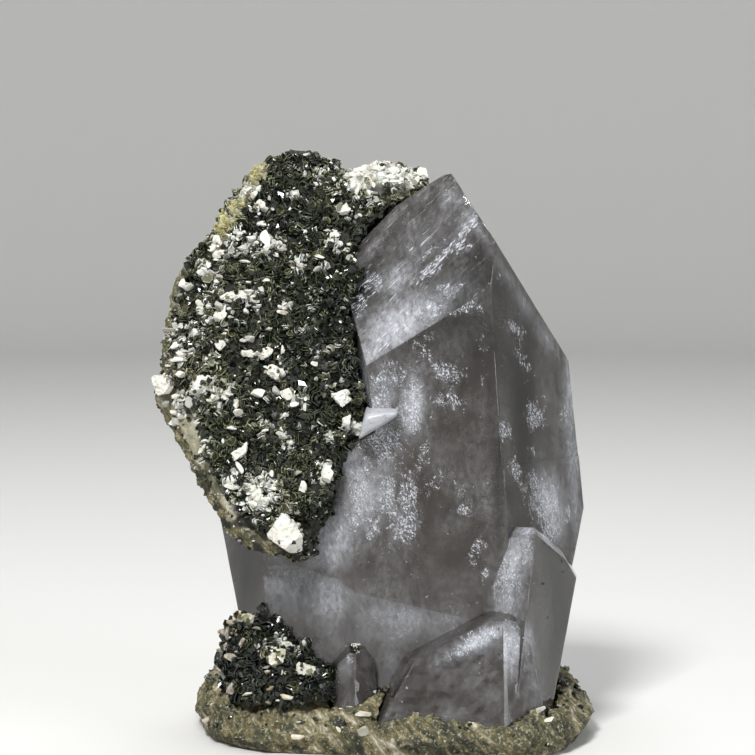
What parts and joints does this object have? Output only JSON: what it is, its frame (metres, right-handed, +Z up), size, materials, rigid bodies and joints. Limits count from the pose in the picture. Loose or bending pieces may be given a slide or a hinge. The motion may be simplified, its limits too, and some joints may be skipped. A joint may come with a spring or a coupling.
{
  "type": "mica-bearing quartz crystal specimen",
  "caption": "Cluster of smoky to milky quartz crystals with a thick plate of dark mica books and white feldspar on its left flank, rising from a flat-cut rock base.",
  "frame": {"origin": "centre of the bounding box at the base's flat cut, where the specimen rests", "axes": "+Z up along the crystals, -Y towards the side that the picture shows, +X to the right of that side"},
  "size_m": [0.1089, 0.1007, 0.1433],
  "materials": {
    "quartz": "clear smoky quartz with milky veils and a fresh gloss",
    "milky_quartz": "milky quartz, satin",
    "mica": "dark olive mica flakes with a pearly gloss",
    "stained_feldspar": "yellowish stained feldspar rock, matt",
    "feldspar": "white feldspar, satin"
  },
  "bodies": {
    "root": {"quartz_crystals": "quartz", "milky_quartz_point": "milky_quartz", "mica_crust": "mica", "mica_patch": "mica", "feldspar_plate": "stained_feldspar", "feldspar_base": "stained_feldspar", "feldspar_block_left": "feldspar", "feldspar_block_foot": "feldspar", "feldspar_blade_upper": "feldspar", "feldspar_blade_middle": "feldspar", "feldspar_grain_right": "feldspar", "feldspar_grain_edge": "feldspar", "feldspar_blade_right": "feldspar", "feldspar_blade_top": "feldspar", "feldspar_grain_top": "feldspar", "feldspar_blade_low": "feldspar", "feldspar_ridge_left": "feldspar", "feldspar_ridge_upper": "feldspar", "feldspar_crest": "feldspar", "feldspar_foot_upper": "feldspar", "feldspar_foot_middle": "feldspar", "feldspar_foot_right": "feldspar"}
  },
  "joints": []
}
